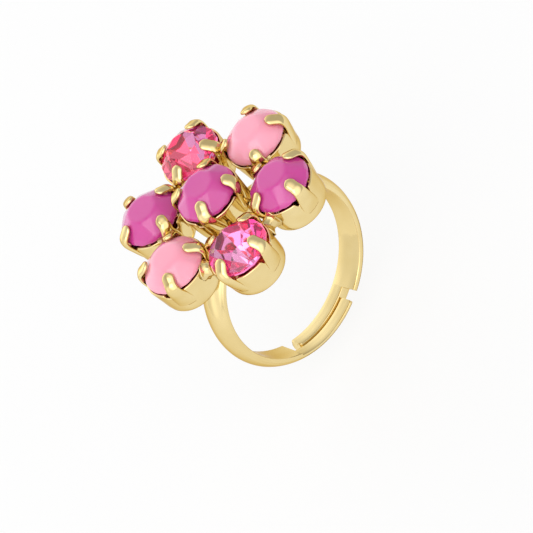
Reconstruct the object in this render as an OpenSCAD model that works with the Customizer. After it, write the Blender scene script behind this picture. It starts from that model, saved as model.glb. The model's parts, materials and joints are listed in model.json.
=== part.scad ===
// Cocktail ring: a flower of seven round chatons in four-claw cups, soldered onto an
// adjustable D-section band whose two ends pass side by side under the finger.
// Frame: origin at the centre of the finger hole, Y along the finger, Z up through the
// flower, X towards the right-hand petal. All lengths are in millimetres.

/* [Band] */
// Inside diameter of the band at its middle size
finger_d = 17.2; // [16.6:0.1:18]
// Width of the band along the finger
band_w = 3.1; // [2.8:0.1:3.2]
// Thickness of the band on its centre line
band_t = 1.25; // [1.2:0.05:1.3]
// Thickness of the band at its two edges
band_edge_t = 0.5; // [0.4:0.05:0.6]

/* [Adjustable ends] */
// Angle below the right side at which the right arm narrows to its tongue
tongue_root = 70; // [60:1:75]
// Angle below the right side at which the tongue ends
tongue_tip = 120; // [110:1:122]
// Angle below the left side at which the left arm narrows to its tail
tail_root = 52; // [48:1:54]
// Angle below the left side at which the tail ends
tail_tip = 103; // [98:1:104]
// Slit between the tongue and the tail
end_slit = 0.1; // [0.06:0.02:0.2]
// How much deeper the inside of the tail is cut than the inside of the tongue
tail_relief = 0.12; // [0.05:0.01:0.2]

/* [Band flex] */
// Radius of the round end that each arm turns on
knuckle_r = 0.58; // [0.56:0.01:0.58]
// Clearance around that round end
knuckle_gap = 0.06; // [0.05:0.01:0.08]

/* [Flower] */
// Distance between the axes of neighbouring stones
stone_pitch = 7.35; // [7.35:0.05:7.5]
// Height of the outer stones' girdles above the centre of the finger hole
petal_z = 12.45; // [12.4:0.05:12.55]
// Height of the middle stone above the outer ones
centre_rise = 1.35; // [1.3:0.05:1.4]
// Turn of the middle cup's claws about its axis
centre_turn = 32; // [0:1:89]

/* [Stones] */
// Diameter at the girdle
stone_d = 6.3; // [6.2:0.05:6.3]
// Height of the crown above the girdle plane
crown_h = 1.5; // [1.3:0.05:1.5]
// Distance of a table corner from the stone's axis
table_r = 1.64; // [1.5:0.02:1.7]
// Depth of the pavilion below the girdle plane
pavilion_h = 2.6; // [2.3:0.1:2.7]
// Thickness of the girdle
girdle_t = 0.2; // [0.15:0.05:0.2]

/* [Cups] */
// Outside radius of a cup at its rim
cup_r = 3.35; // [3.32:0.01:3.36]
// Outside radius of a cup just above its bottom corner
cup_base_r = 3.1; // [3:0.05:3.15]
// Depth of a cup below the girdle plane
cup_h = 4.05; // [4:0.05:4.1]
// Thickness of the pressed wall
cup_wall = 0.25; // [0.2:0.05:0.25]
// Depth of the rim below the girdle plane
rim_drop = 0.35; // [0.3:0.05:0.4]
// Radius of the bottom corner
cup_corner = 0.9; // [0.8:0.05:1]
// Width of a claw
claw_w = 1.18; // [1:0.02:1.22]
// Thickness of a claw
claw_t = 0.36; // [0.3:0.02:0.4]
// Distance of a claw's tip from the stone's axis
claw_tip_r = 2; // [1.9:0.05:2.2]

/* [Solder] */
// Radius of the solder beads between neighbouring petals
petal_bead_r = 0.58; // [0.54:0.02:0.64]
// Radius of the large solder neck between the two front petals
front_neck_r = 0.85; // [0.8:0.01:0.9]
// Radius of the solder bridges between the middle cup and the front and back petals
bridge_bead_r = 0.62; // [0.6:0.01:0.64]
// Radius of the solder fillets between the band and the petals on its line
band_bead_r = 0.55; // [0.5:0.01:0.6]
// Radius of the solder fillets between the band and the middle cup
seat_bead_r = 0.5; // [0.45:0.01:0.55]

/* [Hidden] */
$fn = 64;

GOLD = [0.93, 0.80, 0.50];
SOLDER = [0.90, 0.78, 0.52];
PALE_PINK = [0.97, 0.69, 0.77];
FUCHSIA = [0.80, 0.33, 0.64];
ROSE = [0.95, 0.42, 0.68];

finger_r = finger_d / 2;
band_r = finger_r + band_t;
hinge_r = finger_r + band_t / 2;
knuckle_turn = 5;
knuckle_ledge = 0.05;
dome_rise = band_t - band_edge_t;
dome_r = (pow(band_w / 2, 2) + pow(dome_rise, 2)) / (2 * dome_rise);

PETALS = 6;
petal_step = 360 / PETALS;
petal_mid_r = stone_pitch * cos(petal_step / 2);
centre_z = petal_z + centre_rise;
// Each outer cup was soldered on at its own turn, counted from the right-hand petal.
PETAL_TURN = [45, 21, 80, 35, 11, 83];

stone_r = stone_d / 2;
crown_slope = (crown_h - girdle_t / 2) / (stone_r - table_r);
pavilion_slope = (pavilion_h - girdle_t / 2) / stone_r;
MAINS = 8;
main_step = 360 / MAINS;
// Height of the corner where a star facet meets the two upper girdle facets
star_foot_z = 0.3 * crown_h;
star_foot_r = (stone_r - (star_foot_z - girdle_t / 2) / crown_slope) / cos(main_step / 2);
// Depth of the corner where two pavilion mains meet the lower girdle facets
lower_foot_z = 0.2 * pavilion_h;
lower_foot_r = (stone_r - (lower_foot_z - girdle_t / 2) / pavilion_slope) / cos(main_step / 2);

seat_gap = 0.03;
CLAWS = 4;
claw_foot_z = -2.6;
claw_out = 0.28;
petal_bead_drop = 0.75;
// The neck between the front petals lies lower and further out than the other beads.
FRONT_NECK = 4;
front_neck_drop = 1.2;
front_neck_out = 0.55;
// Petals that a bridge joins to the middle cup; the other two are held by the band.
BRIDGED = [1, 2, 4, 5];
bridge_z = petal_z - 1.95;
bridge_r = stone_pitch / 2 - 0.06;
// Places of the solder fillets above the finger hole: beside a petal, and under the middle cup
fillet_x = 4.25;
fillet_z = 8.95;
seat_x = 2.45;
seat_z = 9.66;
hole_margin = 0.01;

// ---- band ----

// Section of the band, seen along its run: flat inside, domed outside.
module band_section() {
    intersection() {
        translate([finger_r, -band_w / 2]) square([band_t, band_w]);
        translate([band_r - dome_r, 0]) circle(r = dome_r, $fn = 128);
    }
}

// A stretch of band from one angle to another, anticlockwise from +X as seen from -Y.
module band_arc(from, to) {
    rotate([90, 0, 0]) rotate([0, 0, from]) rotate_extrude(angle = to - from, $fn = 180)
        band_section();
}

// Everything between two angles and two widths, for cutting the ends to shape.
module band_cutter(from, to, y0, y1, r = 2 * band_r) {
    rotate([90, 0, 0]) rotate([0, 0, from]) rotate_extrude(angle = to - from, $fn = 180)
        translate([finger_r / 2, -y1]) square([r - finger_r / 2, y1 - y0]);
}

module knuckle(side, r) {
    translate([side * hinge_r, 0, 0]) rotate([90, 0, 0])
        cylinder(r = r, h = 2 * band_w, center = true);
}

// What is cut away above an arm's round end.
module above_knuckle(side) {
    difference() {
        translate([side * hinge_r - band_t, -band_w, -knuckle_ledge])
            cube([2 * band_t, 2 * band_w, 2 * band_t]);
        knuckle(side, knuckle_r);
    }
}

// Top half of the band, dressed flat where the three cups on its line sit on it.
module band_crown() {
    color(GOLD) difference() {
        band_arc(0, 180);
        knuckle(1, knuckle_r + knuckle_gap);
        knuckle(-1, knuckle_r + knuckle_gap);
        at_centre() cup_body();
        at_petal(0) cup_body();
        at_petal(PETALS / 2) cup_body();
    }
}

// Right arm: full width down to the tongue, which runs along the back half.
module band_right_arm() {
    color(GOLD) difference() {
        band_arc(-tongue_tip, knuckle_turn);
        band_cutter(-tongue_tip - 1, -tongue_root, -band_w, end_slit / 2);
        above_knuckle(1);
    }
}

// Left arm: full width down to the tail, which runs along the front half.
module band_left_arm() {
    color(GOLD) difference() {
        band_arc(180 - knuckle_turn, 180 + tail_tip);
        band_cutter(180 + tail_root, 180 + tail_tip + 1, -end_slit / 2, band_w);
        band_cutter(180 + tail_root, 180 + tail_tip + 1, -band_w, band_w, finger_r + tail_relief);
        above_knuckle(-1);
    }
}

// ---- stones ----

function ring_points(r, z, count, turn = 0) =
    [for (i = [0:count - 1]) [r * cos(turn + i * 360 / count), r * sin(turn + i * 360 / count), z]];

// Round brilliant: octagonal table, stars, mains, girdle facets and a pointed pavilion.
module brilliant() {
    girdle = 2 * MAINS;
    t0 = 0;
    m0 = t0 + MAINS;
    g0 = m0 + MAINS;
    b0 = g0 + girdle;
    p0 = b0 + girdle;
    culet = p0 + MAINS;
    points = concat(
        ring_points(table_r, crown_h, MAINS),
        ring_points(star_foot_r, star_foot_z, MAINS, main_step / 2),
        ring_points(stone_r, girdle_t / 2, girdle),
        ring_points(stone_r, -girdle_t / 2, girdle),
        ring_points(lower_foot_r, -lower_foot_z, MAINS, main_step / 2),
        [[0, 0, -pavilion_h]]
    );
    table = [[for (i = [MAINS - 1:-1:0]) t0 + i]];
    per_main = [for (i = [0:MAINS - 1])
        let (n = (i + 1) % MAINS, before = (i + MAINS - 1) % MAINS,
             g = 2 * i, g1 = 2 * i + 1, g2 = (2 * i + 2) % girdle)
        each [
            [t0 + i, t0 + n, m0 + i],
            [t0 + i, m0 + i, g0 + g, m0 + before],
            [m0 + i, g0 + g1, g0 + g],
            [m0 + i, g0 + g2, g0 + g1],
            [g0 + g, g0 + g1, b0 + g1, b0 + g],
            [g0 + g1, g0 + g2, b0 + g2, b0 + g1],
            [p0 + i, b0 + g, b0 + g1],
            [p0 + i, b0 + g1, b0 + g2],
            [culet, p0 + before, b0 + g, p0 + i]
        ]];
    polyhedron(points = points, faces = concat(table, per_main), convexity = 4);
}

module at_petal(i) {
    rotate([0, 0, i * petal_step]) translate([stone_pitch, 0, petal_z])
        rotate([0, 0, PETAL_TURN[i] - i * petal_step]) children();
}

module at_centre() {
    translate([0, 0, centre_z]) rotate([0, 0, centre_turn]) children();
}

module stone_centre() color(FUCHSIA) at_centre() brilliant();
module stone_right() color(PALE_PINK) at_petal(0) brilliant();
module stone_back_right() color(ROSE) at_petal(1) brilliant();
module stone_back_left() color(FUCHSIA) at_petal(2) brilliant();
module stone_left() color(PALE_PINK) at_petal(3) brilliant();
module stone_front_left() color(ROSE) at_petal(4) brilliant();
module stone_front_right() color(FUCHSIA) at_petal(5) brilliant();

// ---- cups ----

// Half section of the pressed cup: tapered wall, round bottom corner, flat floor.
module cup_section(inset = 0) {
    corner = cup_corner - inset;
    foot = cup_base_r - inset;
    floor_z = -cup_h + inset;
    arc = [for (a = [-90:15:0])
        [foot - corner + corner * cos(a), floor_z + corner + corner * sin(a)]];
    top = inset > 0 ? 0 : -rim_drop;
    slope = (cup_r - cup_base_r) / (cup_h - cup_corner - rim_drop);
    top_r = foot + slope * (top - floor_z - corner);
    polygon(concat([[0, floor_z]], arc, [[top_r, top], [0, top]]));
}

// Half section of a claw: a rib on the wall that bends in over the crown.
module claw_section() {
    tip_under = star_foot_z + (star_foot_r - claw_tip_r) * (crown_h - star_foot_z)
        / (star_foot_r - table_r * cos(main_step / 2)) + 2 * seat_gap;
    foot_under = star_foot_z + 2 * seat_gap;
    out_r = cup_r + claw_out;
    polygon([
        [cup_base_r, claw_foot_z],
        [cup_base_r + claw_out / 2, claw_foot_z + claw_t],
        [out_r - claw_out / 3, -1.5],
        [out_r, -rim_drop],
        [out_r - 0.06, 0.25],
        [out_r - 0.3, 0.75],
        [star_foot_r - 0.15, foot_under + claw_t + 0.22],
        [claw_tip_r + 0.45, tip_under + claw_t * 0.62],
        [claw_tip_r + 0.1, tip_under + claw_t],
        [claw_tip_r, tip_under + claw_t * 0.7],
        [claw_tip_r, tip_under],
        [star_foot_r, foot_under],
        [stone_r + seat_gap, girdle_t],
        [stone_r + seat_gap, -rim_drop],
        [cup_r - cup_wall, -rim_drop - cup_wall]
    ]);
}

// Outlines of the four claws seen from above, each with a round tip.
module claw_plan() {
    for (i = [0:CLAWS - 1]) rotate([0, 0, i * 360 / CLAWS]) {
        translate([claw_tip_r + claw_w / 2, -claw_w / 2]) square([cup_r, claw_w]);
        translate([claw_tip_r + claw_w / 2, 0]) circle(d = claw_w);
    }
}

module claws() {
    intersection() {
        rotate_extrude() claw_section();
        translate([0, 0, -cup_h]) linear_extrude(height = cup_h + crown_h + 1) claw_plan();
    }
}

module cup() {
    difference() {
        union() {
            cup_body();
            claws();
        }
        rotate_extrude() cup_section(cup_wall);
    }
}

// The cup's wall and floor with its mouth closed.
module cup_body() {
    rotate_extrude() cup_section();
}

// The closed cup with its claws.
module cup_outside() {
    cup_body();
    claws();
}

module cup_centre() color(GOLD) at_centre() cup();
module cup_right() color(GOLD) at_petal(0) cup();
module cup_back_right() color(GOLD) at_petal(1) cup();
module cup_back_left() color(GOLD) at_petal(2) cup();
module cup_left() color(GOLD) at_petal(3) cup();
module cup_front_left() color(GOLD) at_petal(4) cup();
module cup_front_right() color(GOLD) at_petal(5) cup();

// ---- solder ----

// Beads between each pair of neighbouring petals, just below their rims.
module solder_petal_beads() {
    color(SOLDER) for (i = [0:PETALS - 1]) {
        front = i == FRONT_NECK;
        out = petal_mid_r + (front ? front_neck_out : 0);
        height = petal_z - (front ? front_neck_drop : petal_bead_drop);
        difference() {
            rotate([0, 0, (i + 0.5) * petal_step]) translate([out, 0, height])
                sphere(r = front ? front_neck_r : petal_bead_r);
            at_petal(i) cup_outside();
            at_petal((i + 1) % PETALS) cup_outside();
        }
    }
}

// Bridges low on the middle cup's wall, below the feet of its claws.
module solder_centre_bridges() {
    color(SOLDER) for (i = BRIDGED) difference() {
        rotate([0, 0, i * petal_step]) translate([bridge_r, 0, bridge_z])
            rotate([0, 90, 0]) sphere(r = bridge_bead_r);
        at_petal(i) cup_body();
        at_centre() cup_body();
    }
}

// Fillets that hold the middle cup and the left and right petals to the top of the band.
module solder_band_fillets() {
    color(SOLDER) for (side = [1, -1]) {
        difference() {
            translate([side * fillet_x, 0, fillet_z]) sphere(r = band_bead_r);
            band_arc(0, 180);
            band_inside();
            at_petal(side > 0 ? 0 : PETALS / 2) cup_body();
        }
        difference() {
            translate([side * seat_x, 0, seat_z]) sphere(r = seat_bead_r);
            band_arc(0, 180);
            at_centre() cup_body();
        }
    }
}

// The finger hole as a solid, so that no solder reaches into it.
module band_inside() {
    rotate([90, 0, 0]) cylinder(r = finger_r + hole_margin, h = 2 * band_w, center = true, $fn = 180);
}

band_crown();
band_right_arm();
band_left_arm();
cup_centre();
cup_right();
cup_back_right();
cup_back_left();
cup_left();
cup_front_left();
cup_front_right();
stone_centre();
stone_right();
stone_back_right();
stone_back_left();
stone_left();
stone_front_left();
stone_front_right();
solder_petal_beads();
solder_centre_bridges();
solder_band_fillets();
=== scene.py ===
"""Looks of the cocktail ring: detailed cups, stones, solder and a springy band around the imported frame.

Lengths in this script are millimetres until the last step, when make_piece turns them into metres.
The row frame is that of the part: Y along the finger, Z up through the flower of stones.
"""

import json
import math
import random

import bpy
from mathutils import Matrix, Vector, noise


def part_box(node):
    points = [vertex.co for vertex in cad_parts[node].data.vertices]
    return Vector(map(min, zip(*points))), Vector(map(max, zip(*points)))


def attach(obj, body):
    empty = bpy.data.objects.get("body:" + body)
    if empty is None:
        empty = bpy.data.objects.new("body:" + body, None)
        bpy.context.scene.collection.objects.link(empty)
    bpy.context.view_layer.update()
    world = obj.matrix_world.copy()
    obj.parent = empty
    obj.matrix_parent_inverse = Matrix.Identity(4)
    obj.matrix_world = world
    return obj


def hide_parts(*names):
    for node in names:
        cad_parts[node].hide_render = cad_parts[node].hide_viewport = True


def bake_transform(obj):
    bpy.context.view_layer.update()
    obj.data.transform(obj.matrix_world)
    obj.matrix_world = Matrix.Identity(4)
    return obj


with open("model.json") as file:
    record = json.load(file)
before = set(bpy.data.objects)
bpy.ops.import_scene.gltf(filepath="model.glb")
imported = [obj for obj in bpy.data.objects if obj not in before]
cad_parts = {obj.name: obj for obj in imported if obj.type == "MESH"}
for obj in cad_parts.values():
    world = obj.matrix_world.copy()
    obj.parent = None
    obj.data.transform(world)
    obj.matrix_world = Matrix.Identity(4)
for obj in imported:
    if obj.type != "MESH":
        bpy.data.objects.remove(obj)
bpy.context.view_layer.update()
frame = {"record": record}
scene = bpy.context.scene
MM = 0.001


# ---- what the frame says ----

def box_mm(node):
    """Lowest and highest corner of a CAD node, in millimetres."""
    low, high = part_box(node)
    return low / MM, high / MM


finger_mount = frame["record"]["mounts"][0]["dims"]
FINGER_R = finger_mount["r_mm"]
BAND_W = finger_mount["length_mm"]
BAND_R = box_mm("band_crown")[1].z
BAND_T = BAND_R - FINGER_R
BAND_EDGE_T = 0.5

PETALS = ["right", "back_right", "back_left", "left", "front_left", "front_right"]
PLACES = ["centre"] + PETALS
# Turn of each cup's claws about its own axis, in degrees
CLAW_TURN = dict(zip(PLACES, [32, 45, 21, 80, 35, 11, 83]))
# Turn of each stone's table, which is set by hand in its cup
STONE_TURN = dict(zip(PLACES, [32, 45, 30, 35, 35, 4, 20]))

# Claws that were not bent over straight, by cup and number: turn of the root in degrees, sideways push of the
# tip in millimetres, and the share of the claw's line by which it is shorter
CLAW_BEND = {
    ("centre", 2): (9, 0.0, 0.0), ("centre", 3): (-3, 0.30, 0.08), ("back_left", 2): (-4, 0.45, 0.06),
    ("right", 1): (0, 0.0, 0.08), ("right", 2): (3, 0.0, 0.12), ("left", 1): (4, 0.0, 0.0),
    ("left", 2): (8, 0.0, 0.0), ("left", 3): (10, 0.0, 0.0), ("front_left", 2): (5, -0.35, 0.0),
    ("front_left", 3): (0, 0.30, 0.0),
}

STONE_R = 3.15
PAVILION_H = 2.6
CROWN_H = 1.5
TABLE_R = 1.64
GIRDLE_T = 0.2
MAINS = 8

CUP_R = 3.35
CUP_BASE_R = 3.1
CUP_H = 4.05
CUP_WALL = 0.25
CUP_CORNER = 0.9
RIM_DROP = 0.35
# Dip of the cup's edge at each claw: distance from the claw's middle at which it ends, how softly, and depth
DIP_START, DIP_WIDTH, DIP_DEPTH = 0.90, 0.14, 0.5
CLAWS = 4
CLAW_TIP_R = 2.0

# Slit between the tongue and the tail, rounding of their corners, and rounding of the band's edges
SLIT, END_CORNER, EDGE_BEVEL = 0.05, 0.28, 0.16
# Angles below the side at which the tongue and the tail start and end, and the relief inside the tail
TONGUE_ROOT, TONGUE_TIP = 70, 120
TAIL_ROOT, TAIL_TIP, TAIL_RELIEF = 52, 103, 0.18
# Edges of the band that turn by more degrees than this are shaded as sharp
SHARP_EDGE = 40


def stone_place(place):
    """The point on a stone's axis at its girdle."""
    low, high = box_mm("stone_" + place)
    return Vector(((low.x + high.x) / 2, (low.y + high.y) / 2, high.z - CROWN_H))


# ---- mesh tools ----

def make_piece(name, points, faces, material, smooth=True):
    """A mesh object from points in millimetres."""
    mesh = bpy.data.meshes.new(name)
    mesh.from_pydata([Vector(p) * MM for p in points], [], faces)
    mesh.validate()
    mesh.polygons.foreach_set("use_smooth", [smooth] * len(mesh.polygons))
    piece = bpy.data.objects.new(name, mesh)
    scene.collection.objects.link(piece)
    piece.data.materials.append(material)
    return piece


def loft(rings, points, faces, closed=True):
    """Adds quads between rings of equal length, and a fan over each end."""
    count = len(rings[0])
    start = len(points)
    for ring in rings:
        points.extend(ring)
    for i in range(len(rings) - 1):
        a, b = start + i * count, start + (i + 1) * count
        for j in range(count if closed else count - 1):
            k = (j + 1) % count
            faces.append((a + j, a + k, b + k, b + j))
    for base, flip in ((start, True), (start + (len(rings) - 1) * count, False)):
        middle = sum((Vector(points[base + j]) for j in range(count)), Vector()) / count
        points.append(middle)
        hub = len(points) - 1
        for j in range(count):
            k = (j + 1) % count
            faces.append((hub, base + k, base + j) if flip else (hub, base + j, base + k))


def smooth_step(x, low, high):
    """0 up to low, 1 from high on, and a smooth rise between them."""
    t = min(1.0, max(0.0, (x - low) / (high - low)))
    return t * t * (3 - 2 * t)


def along(points, t):
    """A point on the Catmull-Rom curve through the points, for t from 0 to 1."""
    spans = len(points) - 1
    i = min(int(t * spans), spans - 1)
    u = t * spans - i
    p = [Vector(points[min(max(i + k, 0), spans)]) for k in (-1, 0, 1, 2)]
    return 0.5 * ((2 * p[1]) + (p[2] - p[0]) * u + (2 * p[0] - 5 * p[1] + 4 * p[2] - p[3]) * u ** 2
                  + (3 * p[1] - p[0] - 3 * p[2] + p[3]) * u ** 3)


# ---- materials ----

def new_material(name):
    """A node material, with its nodes, its links and its Principled shader."""
    material = bpy.data.materials.new(name)
    material.use_nodes = True
    nodes, links = material.node_tree.nodes, material.node_tree.links
    return material, nodes, links, nodes["Principled BSDF"]


def gold_material(name, light, deep, rough_low, rough_high, bump, grain):
    """Polished pale gold plating: slight changes of tone and gloss, and a faint ripple of the surface."""
    material, nodes, links, shader = new_material(name)
    shader.inputs["Metallic"].default_value = 1.0
    shader.inputs["Specular Tint"].default_value = (0.74, 0.58, 0.34, 1)
    place = nodes.new("ShaderNodeTexCoord")
    cloud = nodes.new("ShaderNodeTexNoise")
    cloud.inputs["Scale"].default_value = grain
    cloud.inputs["Detail"].default_value = 3.0
    links.new(place.outputs["Object"], cloud.inputs["Vector"])
    tone = nodes.new("ShaderNodeValToRGB")
    tone.color_ramp.elements[0].position = 0.3
    tone.color_ramp.elements[0].color = (*deep, 1)
    tone.color_ramp.elements[1].position = 0.7
    tone.color_ramp.elements[1].color = (*light, 1)
    links.new(cloud.outputs["Fac"], tone.inputs["Fac"])
    links.new(tone.outputs["Color"], shader.inputs["Base Color"])
    gloss = nodes.new("ShaderNodeMapRange")
    gloss.inputs["From Min"].default_value = 0.3
    gloss.inputs["From Max"].default_value = 0.7
    gloss.inputs["To Min"].default_value = rough_low
    gloss.inputs["To Max"].default_value = rough_high
    links.new(cloud.outputs["Fac"], gloss.inputs["Value"])
    links.new(gloss.outputs["Result"], shader.inputs["Roughness"])
    ripple = nodes.new("ShaderNodeTexNoise")
    ripple.inputs["Scale"].default_value = grain * 2.5
    ripple.inputs["Detail"].default_value = 2.0
    links.new(place.outputs["Object"], ripple.inputs["Vector"])
    raised = nodes.new("ShaderNodeBump")
    raised.inputs["Strength"].default_value = bump
    raised.inputs["Distance"].default_value = 0.1 * MM
    links.new(ripple.outputs["Fac"], raised.inputs["Height"])
    links.new(raised.outputs["Normal"], shader.inputs["Normal"])
    return material


def opaque_stone_material(name, pale, deep, edge):
    """Opaque glass: a milky body whose tone drifts slowly, under a clear polish."""
    material, nodes, links, shader = new_material(name)
    place = nodes.new("ShaderNodeTexCoord")
    cloud = nodes.new("ShaderNodeTexNoise")
    cloud.inputs["Scale"].default_value = 160.0
    cloud.inputs["Detail"].default_value = 1.0
    links.new(place.outputs["Object"], cloud.inputs["Vector"])
    tone = nodes.new("ShaderNodeValToRGB")
    tone.color_ramp.elements[0].position = 0.35
    tone.color_ramp.elements[0].color = (*deep, 1)
    tone.color_ramp.elements[1].position = 0.65
    tone.color_ramp.elements[1].color = (*pale, 1)
    links.new(cloud.outputs["Fac"], tone.inputs["Fac"])
    links.new(tone.outputs["Color"], shader.inputs["Base Color"])
    shader.inputs["Roughness"].default_value = 0.12
    shader.inputs["IOR"].default_value = 1.55
    shader.inputs["Subsurface Weight"].default_value = 0.25
    shader.inputs["Subsurface Radius"].default_value = (1.0, 0.5, 0.7)
    shader.inputs["Subsurface Scale"].default_value = 0.6 * MM
    shader.inputs["Coat Weight"].default_value = 0.6
    shader.inputs["Coat Roughness"].default_value = 0.03
    shader.inputs["Coat Tint"].default_value = (*edge, 1)
    return material


def crystal_material(name, tint):
    """Clear polished crystal; its colour comes from the foil behind it."""
    material, _, _, shader = new_material(name)
    shader.inputs["Base Color"].default_value = (*tint, 1)
    shader.inputs["Transmission Weight"].default_value = 1.0
    shader.inputs["Roughness"].default_value = 0.0
    shader.inputs["IOR"].default_value = 1.56
    return material


def foil_material(name, colour, glow, strength):
    """The mirror backing of a foiled stone, seen through the crystal.

    The slight glow stands for light that has gone round inside the stone more often than it is followed.
    """
    material, _, _, shader = new_material(name)
    shader.inputs["Base Color"].default_value = (*colour, 1)
    shader.inputs["Metallic"].default_value = 1.0
    shader.inputs["Roughness"].default_value = 0.05
    shader.inputs["Emission Color"].default_value = (*glow, 1)
    shader.inputs["Emission Strength"].default_value = strength
    return material


GOLD_LIGHT, GOLD_DEEP = (0.865, 0.705, 0.365), (0.79, 0.61, 0.27)
gold_cup = gold_material("gold_cup", GOLD_LIGHT, GOLD_DEEP, 0.06, 0.13, 0.25, 300.0)
gold_band = gold_material("gold_band", GOLD_LIGHT, GOLD_DEEP, 0.09, 0.16, 0.12, 180.0)
gold_solder = gold_material("gold_solder", GOLD_LIGHT, (0.71, 0.54, 0.25), 0.12, 0.24, 0.4, 600.0)
pale_pink = opaque_stone_material("pale_pink", (0.94, 0.385, 0.495), (0.92, 0.355, 0.465), (1, 0.95, 0.97))
fuchsia = opaque_stone_material("fuchsia", (0.61, 0.061, 0.32), (0.58, 0.048, 0.31), (1, 0.92, 0.97))
crystal = crystal_material("rose_crystal", (1.0, 0.92, 0.96))
foils = [
    foil_material("foil_rose", (1.0, 0.28, 0.60), (1.0, 0.10, 0.38), 0.16),
    foil_material("foil_mauve", (0.60, 0.22, 0.42), (0.6, 0.06, 0.25), 0.06),
    foil_material("foil_red", (1.0, 0.12, 0.24), (1.0, 0.03, 0.10), 0.08),
]


# ---- stones ----

def ring(radius, z, count, turn=0.0):
    """Points spaced evenly on a level circle about the axis."""
    return [
        Vector((radius * math.cos(turn + i * math.tau / count),
                radius * math.sin(turn + i * math.tau / count), z))
        for i in range(count)
    ]


def brilliant():
    """Points, crown faces and pavilion faces of a round chaton; the crown's faces take in the girdle."""
    half = math.pi / MAINS
    crown_slope = (CROWN_H - GIRDLE_T / 2) / (STONE_R - TABLE_R)
    pavilion_slope = (PAVILION_H - GIRDLE_T / 2) / STONE_R
    star_z, lower_z = 0.3 * CROWN_H, 0.2 * PAVILION_H
    star_r = (STONE_R - (star_z - GIRDLE_T / 2) / crown_slope) / math.cos(half)
    lower_r = (STONE_R - (lower_z - GIRDLE_T / 2) / pavilion_slope) / math.cos(half)
    girdle = 2 * MAINS
    points = (ring(TABLE_R, CROWN_H, MAINS) + ring(star_r, star_z, MAINS, half)
              + ring(STONE_R, GIRDLE_T / 2, girdle) + ring(STONE_R, -GIRDLE_T / 2, girdle)
              + ring(lower_r, -lower_z, MAINS, half) + [Vector((0, 0, -PAVILION_H))])
    star, top, under, lower, culet = MAINS, 2 * MAINS, 4 * MAINS, 6 * MAINS, 7 * MAINS
    crown, pavilion = [tuple(range(MAINS))], []
    for i in range(MAINS):
        after, before = (i + 1) % MAINS, (i - 1) % MAINS
        g0, g1, g2 = 2 * i, 2 * i + 1, (2 * i + 2) % girdle
        crown += [
            (i, star + i, after),
            (i, star + before, top + g0, star + i),
            (star + i, top + g0, top + g1),
            (star + i, top + g1, top + g2),
            (top + g0, under + g0, under + g1, top + g1),
            (top + g1, under + g1, under + g2, top + g2),
        ]
        pavilion += [
            (lower + i, under + g1, under + g0),
            (lower + i, under + g2, under + g1),
            (culet, lower + i, under + g0, lower + before),
        ]
    return points, crown, pavilion


def set_stone(place, points, faces, material, smooth):
    """Puts a stone in its cup, at its own turn, in place of its CAD node."""
    turn = Matrix.Rotation(math.radians(STONE_TURN[place]), 3, "Z")
    centre = stone_place(place)
    stone = make_piece("gem_" + place, [centre + turn @ p for p in points], faces, material, smooth)
    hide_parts("stone_" + place)
    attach(stone, "head")
    return stone


def facet_planes():
    """Height at the axis and slopes in X and Y of every crown facet, from three of its corners."""
    points, crown, _ = brilliant()
    planes = []
    for face in crown:
        a, b, c = (points[i] for i in face[:3])
        normal = (b - a).cross(c - a)
        if abs(normal.z) > 0.05 * normal.length:
            planes.append((a.z + (a.x * normal.x + a.y * normal.y) / normal.z,
                           -normal.x / normal.z, -normal.y / normal.z))
    return planes


def make_opaque_stone(place, material, slot, softness):
    """A moulded glass stone, whose crown facets run into each other over edges of the given softness."""
    planes = facet_planes()
    around, rows = 160, 40
    rings = []
    for i in range(1, rows + 1):
        radius = STONE_R * i / rows
        made = []
        for j in range(around):
            x, y = radius * math.cos(j * math.tau / around), radius * math.sin(j * math.tau / around)
            heights = [h + sx * x + sy * y for h, sx, sy in planes]
            low = min(heights)
            made.append(Vector((x, y, low - softness * math.log(
                sum(math.exp((low - h) / softness) for h in heights)))))
        rings.append(made)
    shoulder = [
        [Vector((p.x * k, p.y * k, p.z - d)) for p in rings[-1]]
        for k, d in ((1.0, 0.04), (0.999, 0.16))
    ]
    rings += shoulder
    for share in (0.9, 0.6, 0.3, 0.03):
        depth = GIRDLE_T / 2 + (PAVILION_H - GIRDLE_T / 2) * (1 - share)
        rings.append(ring(STONE_R * share, -depth, around))
    points, faces = [], []
    loft(list(reversed(rings)), points, faces)
    set_stone(place, points, faces, material, True)


def make_crystal(place, seed):
    """A clear stone whose girdle and pavilion facets carry the foil, in several depths of rose."""
    points, crown, pavilion = brilliant()
    stone = set_stone(place, points, crown + pavilion, crystal, False)
    for foil in foils:
        stone.data.materials.append(foil)
    draw = random.Random(seed)
    for number, polygon in enumerate(stone.data.polygons):
        upright = abs(polygon.normal.z) < 0.1
        if number >= len(crown) or upright:
            polygon.material_index = 1 if upright else draw.choices([1, 2, 3], [7, 2, 2])[0]


# ---- cups ----

def rim_height(s):
    """Height of the wall's edge at a distance s from a claw's middle; it dips at the claw."""
    beside = abs(s) - DIP_START
    dip = math.exp(-(beside / DIP_WIDTH) ** 2) if beside > 0 else 1.0
    return -RIM_DROP - DIP_DEPTH * dip


def wall_ripple(angle, phases):
    """Faint flats that pressing leaves around the wall."""
    return sum(0.010 * math.sin(n * angle + phase) for n, phase in phases)


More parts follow.
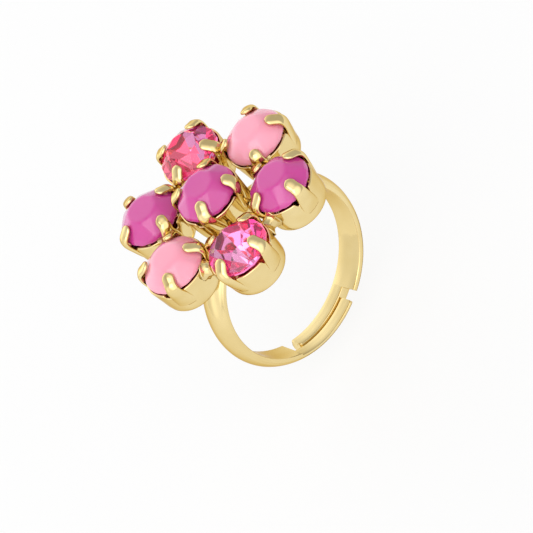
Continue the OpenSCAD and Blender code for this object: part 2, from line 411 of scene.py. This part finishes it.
def cup_wall(points, faces, draw):
    """The pressed cup, from the outside of its floor over the rim to the inside of its floor."""
    segments = 256
    phases = [(n, draw.uniform(0, math.tau)) for n in (5, 9, 14)]
    corner_z = -CUP_H + CUP_CORNER
    slope = (CUP_R - CUP_BASE_R) / (-RIM_DROP - corner_z)
    edge = CUP_WALL / 2

    def outer_row(share, angle, s):
        z = corner_z + share * (rim_height(s) - edge - corner_z)
        return CUP_BASE_R + slope * (z - corner_z) + wall_ripple(angle, phases), z

    def rim_row(turn, angle, s):
        r, z = outer_row(1.0, angle, s)
        return r - edge + edge * math.cos(turn), z + edge * math.sin(turn)

    def inner_row(share, angle, s):
        r, z = outer_row(share, angle, s)
        return r - CUP_WALL, z

    def corner_row(turn, inset):
        radius = CUP_CORNER - inset
        centre_r = CUP_BASE_R - CUP_CORNER
        return centre_r + radius * math.sin(turn), corner_z - radius * math.cos(turn)

    rows = [lambda a, s, r=r: (r, -CUP_H) for r in (0.6, 1.6)]
    rows += [lambda a, s, t=t: corner_row(t, 0) for t in (0, 0.3, 0.6, 0.9, 1.2)]
    rows += [lambda a, s, t=t: outer_row(t, a, s) for t in (0.03, 0.2, 0.4, 0.6, 0.75, 0.88, 0.96, 1.0)]
    rows += [lambda a, s, t=t: rim_row(t, a, s) for t in (0.5, 1.0, 1.57, 2.1, 2.6)]
    rows += [lambda a, s, t=t: inner_row(t, a, s) for t in (1.0, 0.9, 0.6, 0.3, 0.03)]
    rows += [lambda a, s, t=t: corner_row(t, CUP_WALL) for t in (1.1, 0.6, 0)]
    rows += [lambda a, s, r=r: (r, -CUP_H + CUP_WALL) for r in (1.6, 0.6)]
    rings = []
    for row in rows:
        made = []
        for j in range(segments):
            angle = j * math.tau / segments
            nearest = (angle + math.pi / CLAWS) % (math.tau / CLAWS) - math.pi / CLAWS
            r, z = row(angle, nearest * CUP_R)
            made.append(Vector((r * math.cos(angle), r * math.sin(angle), z)))
        rings.append(made)
    loft(rings, points, faces)


# Middle line of a claw from its foot on the wall to its tip over the crown: distance from the
# stone's axis, height above the girdle, half width and thickness.
CLAW_LINE = [
    (3.08, -2.60, 0.92, 0.12),
    (3.15, -2.10, 0.90, 0.22),
    (3.24, -1.50, 0.87, 0.31),
    (3.33, -0.90, 0.82, 0.37),
    (3.42, -0.40, 0.76, 0.40),
    (3.46, 0.00, 0.70, 0.40),
    (3.39, 0.37, 0.65, 0.40),
    (3.18, 0.66, 0.61, 0.40),
    (2.86, 0.86, 0.59, 0.40),
    (2.45, 1.12, 0.60, 0.38),
    (CLAW_TIP_R, 1.42, 0.58, 0.34),
]


def claw(points, faces, angle, lean, cut, draw):
    """One claw: a strip that grows out of the wall, narrows, and bends over the stone to a round tip."""
    wide = draw.uniform(0.94, 1.06)
    stations, around = 46, 20
    stops = [(1 - cut) * i / (stations - 1) for i in range(stations)]
    centres = [along([(r, z, 0) for r, z, w, t in CLAW_LINE], t) for t in stops]
    sizes = [along([(w * wide, t, 0) for r, z, w, t in CLAW_LINE], t) for t in stops]
    to_tip = [0.0] * stations
    for i in range(stations - 2, -1, -1):
        to_tip[i] = to_tip[i + 1] + (centres[i + 1] - centres[i]).length
    rings = []
    for i in range(stations):
        before, after = centres[max(i - 1, 0)], centres[min(i + 1, stations - 1)]
        run = (after - before).normalized()
        out = Vector((run.y, -run.x, 0))
        half_w, thick = sizes[i].x, sizes[i].y
        tip = min(1.0, to_tip[i] / half_w)
        round_off = math.sqrt(max(0.0, 1 - (1 - tip) ** 2))
        half_w *= max(round_off, 0.04)
        thick *= 0.45 + 0.55 * max(round_off, 0.04) ** 0.5
        wrap = smooth_step(centres[i].y, 0.9, -0.2)
        made = []
        for j in range(around):
            turn = j * math.tau / around
            c, s = math.cos(turn), math.sin(turn)
            across = half_w * math.copysign(abs(c) ** 0.7, c)
            depth = thick / 2 * math.copysign(abs(s) ** 0.8, s)
            crown = 0.22 * thick * (1 - (across / max(half_w, 1e-6)) ** 2) if s > 0 else 0
            p = centres[i] + out * (depth + crown)
            r = p.x - wrap * across ** 2 / (2 * CUP_R)
            sway = across + lean * smooth_step(p.y, -0.3, 1.4)
            made.append(Vector((r * math.cos(angle) - sway * math.sin(angle),
                                r * math.sin(angle) + sway * math.cos(angle), p.y)))
        rings.append(made)
    loft(rings, points, faces)


def make_cup(place, seed):
    """A cup and its claws, in place of its CAD node; claws not listed get a small random bend."""
    draw = random.Random(seed)
    points, faces = [], []
    cup_wall(points, faces, draw)
    for i in range(CLAWS):
        by_hand = (draw.uniform(-1.5, 1.5), draw.uniform(-0.08, 0.08), draw.uniform(0.0, 0.03))
        turn, lean, cut = CLAW_BEND.get((place, i), by_hand)
        claw(points, faces, i * math.tau / CLAWS + math.radians(turn), lean, cut, draw)
    turn = Matrix.Rotation(math.radians(CLAW_TURN[place]), 3, "Z")
    centre = stone_place(place)
    cup = make_piece("setting_" + place, [centre + turn @ p for p in points], faces, gold_cup)
    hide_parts("cup_" + place)
    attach(cup, "head")


# ---- band ----

def band_ring(angle, y_low, y_high, inner_r):
    """Section of the band between two widths, at an angle: flat inside, domed outside, with rounded edges."""
    bevel = min(EDGE_BEVEL, (y_high - y_low) * 0.3)
    dome = BAND_T - BAND_EDGE_T

    def outer_r(y):
        return BAND_R - dome * (2 * y / BAND_W) ** 2

    outline = []
    steps = 14
    for i in range(steps + 1):
        y = y_low + bevel + (y_high - y_low - 2 * bevel) * i / steps
        outline.append((outer_r(y), y))
    for turn in (0.4, 0.8, 1.2):
        outline.append((outer_r(y_high) - bevel + bevel * math.cos(turn),
                        y_high - bevel + bevel * math.sin(turn)))
    for turn in (0.4, 0.8, 1.2):
        outline.append((inner_r + bevel - bevel * math.sin(turn),
                        y_high - bevel + bevel * math.cos(turn)))
    for i in range(4):
        y = y_high - bevel - (y_high - y_low - 2 * bevel) * i / 3
        outline.append((inner_r, y))
    for turn in (0.4, 0.8, 1.2):
        outline.append((inner_r + bevel - bevel * math.cos(turn),
                        y_low + bevel - bevel * math.sin(turn)))
    for turn in (0.4, 0.8, 1.2):
        outline.append((outer_r(y_low) - bevel + bevel * math.sin(turn),
                        y_low + bevel - bevel * math.cos(turn)))
    return [Vector((r * math.cos(angle), y, r * math.sin(angle))) for r, y in outline]


def make_band_half(name, side, root, tip, relief, nodes):
    """Half of the band, from the top of the ring down to its narrowed end.

    side is 1 for the right half, whose tongue runs along the back, and -1 for the left half, whose tail runs
    along the front.
    """
    half = BAND_W / 2
    root, tip = math.radians(root), math.radians(tip)
    step = math.radians(1.5)
    stops, a = [], math.pi / 2
    while a > -tip + step / 16:
        stops.append(a)
        near = min(abs(a + root), abs(a + tip))
        a -= step if near > 2 * step else step / 8
    stops.append(-tip)
    rings = []
    for a in stops:
        past_root = (-a - root) * FINGER_R
        to_tip = (a + tip) * FINGER_R
        narrow = smooth_step(past_root, -0.02, 0.10)
        short_of = max(0.0, 1 - to_tip / END_CORNER)
        rounding = END_CORNER * (1 - math.sqrt(max(0.0, 1 - short_of ** 2)))
        near_y = -half + (half + SLIT) * narrow
        near_y += rounding
        far_y = half - rounding
        inner_r = FINGER_R + relief * narrow
        low, high = (near_y, far_y) if side > 0 else (-far_y, -near_y)
        angle = a if side > 0 else math.pi - a
        rings.append(band_ring(angle, low, high, inner_r))
    points, faces = [], []
    loft(rings, points, faces)
    if side > 0:
        faces = [tuple(reversed(f)) for f in faces]
    piece = make_piece(name, points, faces, gold_band)
    # Crisp ends, and no shading across the place where the halves meet; the rounded edges stay smooth.
    piece.data.set_sharp_from_angle(angle=math.radians(SHARP_EDGE))
    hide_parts(*nodes)
    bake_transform(piece)


# ---- solder ----

def neck(points, faces, start, end, waist, foot, lump, seed):
    """Solder that has flowed between two walls: narrow in the middle, and wide where it wets each wall."""
    stations, around = 16, 28
    run = (end - start).normalized()
    side = run.cross(Vector((0, 0, 1))).normalized()
    up = side.cross(run)
    rings = []
    for i in range(stations):
        t = i / (stations - 1)
        radius = waist + (foot - waist) * abs(2 * t - 1) ** 2.5
        made = []
        for j in range(around):
            turn = j * math.tau / around
            way = side * math.cos(turn) + up * math.sin(turn)
            swell = 1 + lump * noise.noise(way * 1.3 + run * (2 * t) + Vector((seed * 7.1, 0, 0)))
            made.append(start.lerp(end, t) + way * radius * swell)
        rings.append(made)
    loft(rings, points, faces)


def make_solder(name, node, necks):
    """All necks of one solder node: start, end, waist radius and foot radius of each."""
    points, faces = [], []
    for i, (start, end, waist, foot) in enumerate(necks):
        neck(points, faces, start, end, waist, foot, 0.25, i + 1)
    piece = make_piece(name, points, faces, gold_solder)
    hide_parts(node)
    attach(piece, "head")


def across_gap(a, b, height, out=0.0):
    """Two points on the walls of the cups at a and b, at one height, moved outwards by out."""
    flat = Vector((b.x - a.x, b.y - a.y, 0)).normalized()
    middle = Vector(((a.x + b.x) / 2, (a.y + b.y) / 2, 0))
    outward = middle.normalized()
    reach = (Vector((b.x, b.y, 0)) - Vector((a.x, a.y, 0))).length / 2 - 3.0
    base = Vector((middle.x, middle.y, height)) + outward * out
    return base - flat * reach, base + flat * reach


# ---- the ring ----

CUP_SEED = 20
MOULDED_STONES = [
    # place, material, slot, softness of the edges
    ("centre", fuchsia, "stone_fuchsia", 0.05),
    ("back_left", fuchsia, "stone_fuchsia", 0.05),
    ("front_right", fuchsia, "stone_fuchsia", 0.05),
    ("right", pale_pink, "stone_pale_pink", 0.11),
    ("left", pale_pink, "stone_pale_pink", 0.11),
]
CRYSTAL_SEEDS = {"back_right": 5, "front_left": 8}

for number, place in enumerate(PLACES):
    make_cup(place, CUP_SEED + number)
for stone in MOULDED_STONES:
    make_opaque_stone(*stone)
for place, seed in CRYSTAL_SEEDS.items():
    make_crystal(place, seed)

make_band_half("band_right_half", 1, TONGUE_ROOT, TONGUE_TIP, 0.0,
               ["band_crown", "band_right_arm"])
make_band_half("band_left_half", -1, TAIL_ROOT, TAIL_TIP, TAIL_RELIEF,
               ["band_left_arm"])

# Solder between a petal and the next one: depth below the girdle, distance outwards, waist and foot radius
SMALL_NECK = (0.75, 0.0, 0.40, 0.60)
LARGE_NECK = (1.2, 0.55, 0.72, 1.15)
# Petals that a large neck joins to the next one, and petals that a bridge joins to the middle cup
FRONT_NECKS = (3, 4)
BRIDGED = (1, 2, 4, 5)
BRIDGE_DROP, BRIDGE_WAIST, BRIDGE_FOOT = 1.95, 0.45, 0.64
# Fillets on each side: start and end in X and Z, waist and foot radius
PETAL_FILLET = ((3.95, 8.95), (4.6, 8.85), 0.30, 0.42)
CENTRE_FILLET = ((2.1, 9.72), (2.75, 9.6), 0.26, 0.36)

centres = [stone_place(place) for place in PETALS]
middle = stone_place("centre")
petal_necks, bridges, fillets = [], [], []
for i in range(len(PETALS)):
    drop, out, waist, foot = LARGE_NECK if i in FRONT_NECKS else SMALL_NECK
    ends = across_gap(centres[i], centres[(i + 1) % len(PETALS)], centres[i].z - drop, out)
    petal_necks.append((*ends, waist, foot))
for i in BRIDGED:
    ends = across_gap(middle, centres[i], centres[i].z - BRIDGE_DROP)
    bridges.append((*ends, BRIDGE_WAIST, BRIDGE_FOOT))
for start, end, waist, foot in (PETAL_FILLET, CENTRE_FILLET):
    for side in (-1, 1):
        fillets.append((Vector((side * start[0], 0, start[1])),
                        Vector((side * end[0], 0, end[1])), waist, foot))
make_solder("petal_beads", "solder_petal_beads", petal_necks)
make_solder("centre_bridges", "solder_centre_bridges", bridges)
make_solder("band_fillets", "solder_band_fillets", fillets)


# ---- stage, light and camera ----

# Room below the ring, so that its ends clear the floor when the band is opened
FLOOR_GAP = 3.0
FLOOR_HALF = 0.6 / MM
# Grey of the floor itself, and the even glow that keeps it white
FLOOR_TONE, FLOOR_GLOW = 0.16, 0.78


def make_floor():
    """A plain, evenly lit white floor a little below the ring."""
    half, z = FLOOR_HALF, -BAND_R - FLOOR_GAP
    corners = [(-half, -half, z), (half, -half, z), (half, half, z), (-half, half, z)]
    mesh = bpy.data.meshes.new("floor")
    mesh.from_pydata([Vector(c) * MM for c in corners], [], [(0, 1, 2, 3)])
    floor = bpy.data.objects.new("floor", mesh)
    scene.collection.objects.link(floor)
    material, _, _, shader = new_material("floor_white")
    shader.inputs["Base Color"].default_value = (FLOOR_TONE, FLOOR_TONE, FLOOR_TONE, 1)
    shader.inputs["Roughness"].default_value = 0.7
    shader.inputs["Emission Color"].default_value = (1, 1, 1, 1)
    shader.inputs["Emission Strength"].default_value = FLOOR_GLOW
    floor.data.materials.append(material)


def make_light(name, where, size, energy, colour=(1, 1, 1)):
    """A square area light that faces the ring; its place and size are in metres."""
    light = bpy.data.lights.new(name, "AREA")
    light.energy = energy
    light.size = size
    light.color = colour
    lamp = bpy.data.objects.new(name, light)
    lamp.location = where
    lamp.rotation_mode = "QUATERNION"
    lamp.rotation_quaternion = (-Vector(where)).to_track_quat("-Z", "Y")
    scene.collection.objects.link(lamp)


# The key light's place and size in metres, and its power in watts
KEY_PLACE, KEY_SIZE, KEY_ENERGY = (-0.25, -0.15, 0.45), 0.30, 0.3

# Broad lights of the tent around the ring: towards, cosine where it starts, cosine where it is full, radiance
TENT_LIGHTS = [
    ((-0.70, 0.70, 0.05), 0.55, 0.90, 0.35),
    ((0.23, 0.70, 0.67), 0.70, 0.96, 0.30),
    ((-0.23, -0.70, 0.67), 0.55, 0.95, 0.90),
    ((-0.9, -0.2, 0.4), 0.70, 0.96, 0.5),
    ((0.10, 0.97, 0.0), 0.60, 0.95, 0.7),
]
TENT_BASE = 0.57


def make_world():
    """White surroundings for the camera; for reflections, a white tent with broad brighter areas."""
    world = bpy.data.worlds.new("studio")
    scene.world = world
    world.use_nodes = True
    nodes, links = world.node_tree.nodes, world.node_tree.links
    background = nodes["Background"]
    place = nodes.new("ShaderNodeTexCoord")
    total = None
    for towards, start, full, radiance in TENT_LIGHTS:
        facing = nodes.new("ShaderNodeVectorMath")
        facing.operation = "DOT_PRODUCT"
        facing.inputs[1].default_value = Vector(towards).normalized()
        links.new(place.outputs["Generated"], facing.inputs[0])
        level = nodes.new("ShaderNodeMapRange")
        level.interpolation_type = "SMOOTHSTEP"
        level.inputs["From Min"].default_value = start
        level.inputs["From Max"].default_value = full
        level.inputs["To Min"].default_value = 0.0
        level.inputs["To Max"].default_value = radiance
        links.new(facing.outputs["Value"], level.inputs["Value"])
        add = nodes.new("ShaderNodeMath")
        add.operation = "ADD"
        links.new(level.outputs["Result"], add.inputs[0])
        if total:
            links.new(total.outputs["Value"], add.inputs[1])
        else:
            add.inputs[1].default_value = TENT_BASE
        total = add
    rays = nodes.new("ShaderNodeLightPath")
    mix = nodes.new("ShaderNodeMix")
    mix.data_type = "FLOAT"
    links.new(rays.outputs["Is Camera Ray"], mix.inputs["Factor"])
    links.new(total.outputs["Value"], mix.inputs["A"])
    mix.inputs["B"].default_value = 1.0
    links.new(mix.outputs["Result"], background.inputs["Strength"])
    background.inputs["Color"].default_value = (1, 1, 1, 1)


def make_camera():
    """A long lens in front of and above the ring, rolled as the ring is held."""
    right = Vector((0.5217, -0.667, -0.5318)).normalized()
    back = Vector((-0.2201, -0.7075, 0.6715)).normalized()
    up = back.cross(right).normalized()
    right = up.cross(back)
    aim = Vector((-2.50, -4.65, 6.455)) * MM
    distance, sensor, view_width = 0.41, 36.0, 50.33 * MM
    data = bpy.data.cameras.new("camera")
    data.sensor_width = sensor
    data.lens = sensor * distance / view_width
    data.clip_start, data.clip_end = 0.05, 10
    camera = bpy.data.objects.new("camera", data)
    turn = Matrix((right, up, back)).transposed().to_4x4()
    camera.matrix_world = Matrix.Translation(aim + back * distance) @ turn
    scene.collection.objects.link(camera)
    scene.camera = camera


make_floor()
make_light("key", KEY_PLACE, KEY_SIZE, KEY_ENERGY)
make_world()
make_camera()
scene.view_settings.view_transform = "Standard"
